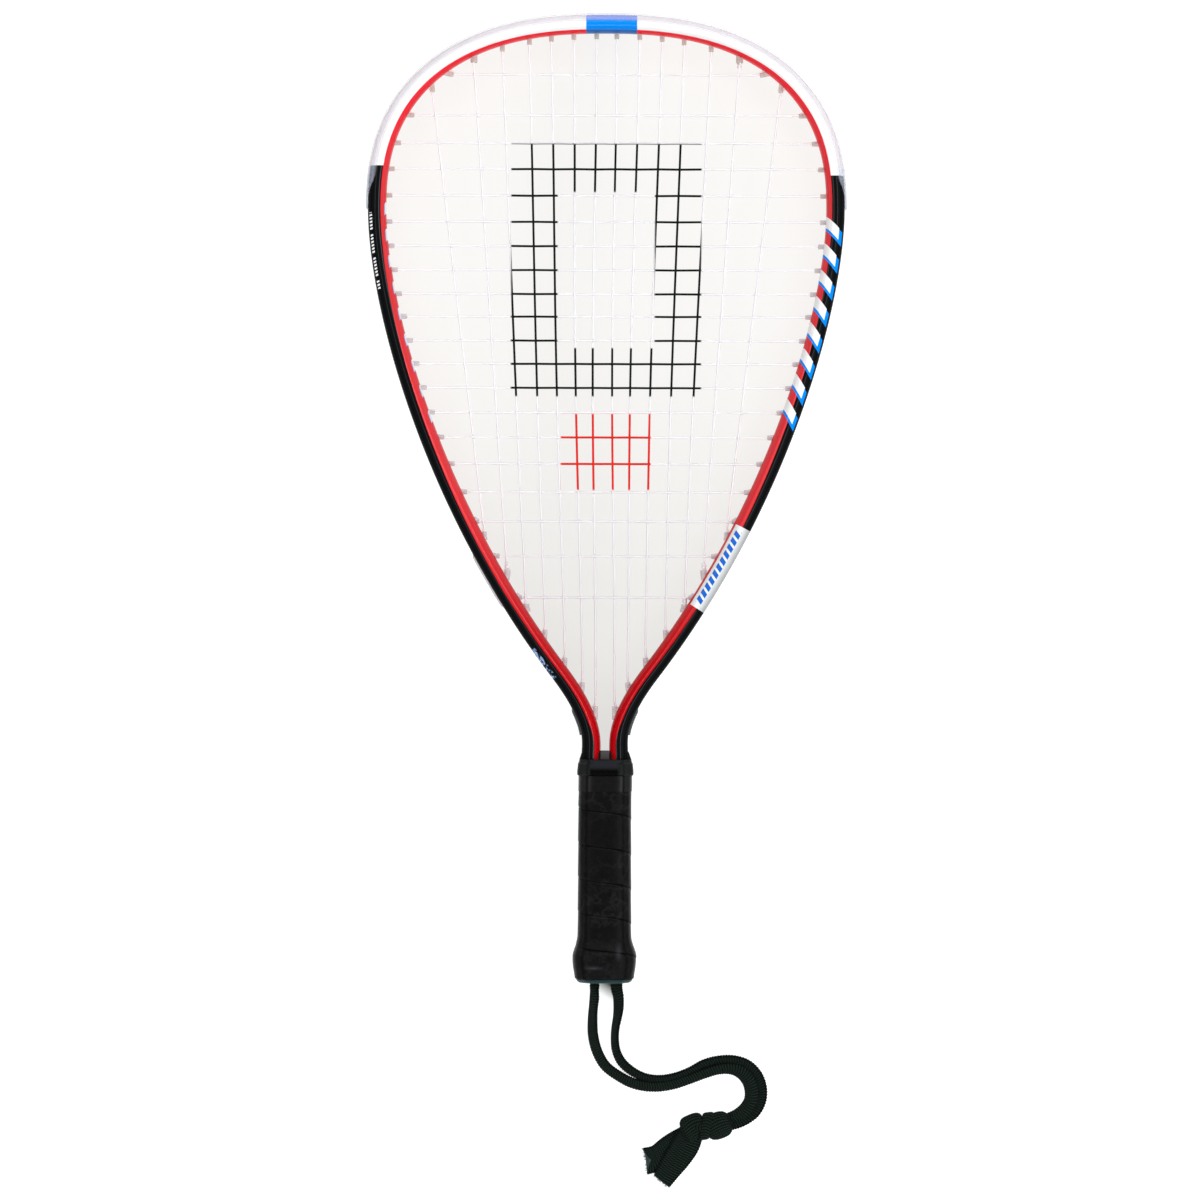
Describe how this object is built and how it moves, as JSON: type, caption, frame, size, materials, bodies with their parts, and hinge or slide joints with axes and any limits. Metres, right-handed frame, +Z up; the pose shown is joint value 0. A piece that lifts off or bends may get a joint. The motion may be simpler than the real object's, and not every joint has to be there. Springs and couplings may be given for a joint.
{
  "type": "racquetball racket",
  "caption": "Short-handled racquetball racket with a teardrop frame, woven strings, wrapped octagonal grip and a braided wrist cord.",
  "frame": {"origin": "on the surface that the racket lies on, under the middle of its length and width, measured without the wrist cord", "axes": "+X across the head, +Y from the butt end to the tip of the head, +Z up, square to the strings"},
  "size_m": [0.2772, 0.6775, 0.0334],
  "materials": {
    "frame_lacquer": "clear lacquer over black, bright red and white paint on a moulded composite tube",
    "bumper_plastic": "milky translucent moulded nylon, lightly scuffed",
    "grommet_plastic": "clear moulded nylon",
    "string": "smooth coated white synthetic gut",
    "yoke_plastic": "grey moulded plastic",
    "collar_rubber": "satin black rubber",
    "handle_foam": "moulded structural foam, hidden under the tape",
    "cap_plastic": "dark teal-black moulded plastic, satin",
    "staple_steel": "bright steel wire",
    "grip_tape": "tacky black polyurethane grip tape with a fine pebble",
    "finishing_film": "glossy black adhesive film",
    "cord_braid": "dark green-black braided polyester lace"
  },
  "bodies": {
    "racket": {"frame_tube": "frame_lacquer", "bumper_guard": "bumper_plastic", "grommet_strip_left": "grommet_plastic", "grommet_strip_right": "grommet_plastic", "main_string": "string", "cross_string": "string", "throat_yoke": "yoke_plastic", "throat_collar": "collar_rubber", "handle_half_front": "handle_foam", "handle_half_back": "handle_foam", "butt_cap": "cap_plastic", "butt_staple_front": "staple_steel", "butt_staple_back": "staple_steel", "grip_tape": "grip_tape", "finishing_tape": "finishing_film", "cord_anchor_loop": "cord_braid"},
    "wrist_cord": {"cord_strand_left": "cord_braid", "cord_strand_right": "cord_braid", "cord_knot": "cord_braid", "cord_tail_front": "cord_braid", "cord_tail_back": "cord_braid"}
  },
  "joints": [
    {"name": "wrist_cord_swing", "type": "hinge", "parent": "racket", "child": "wrist_cord", "pos_m": [0, -0.283, 0.0167], "axis": [-1, 0, 0], "range_deg": [-60, 85]}
  ]
}
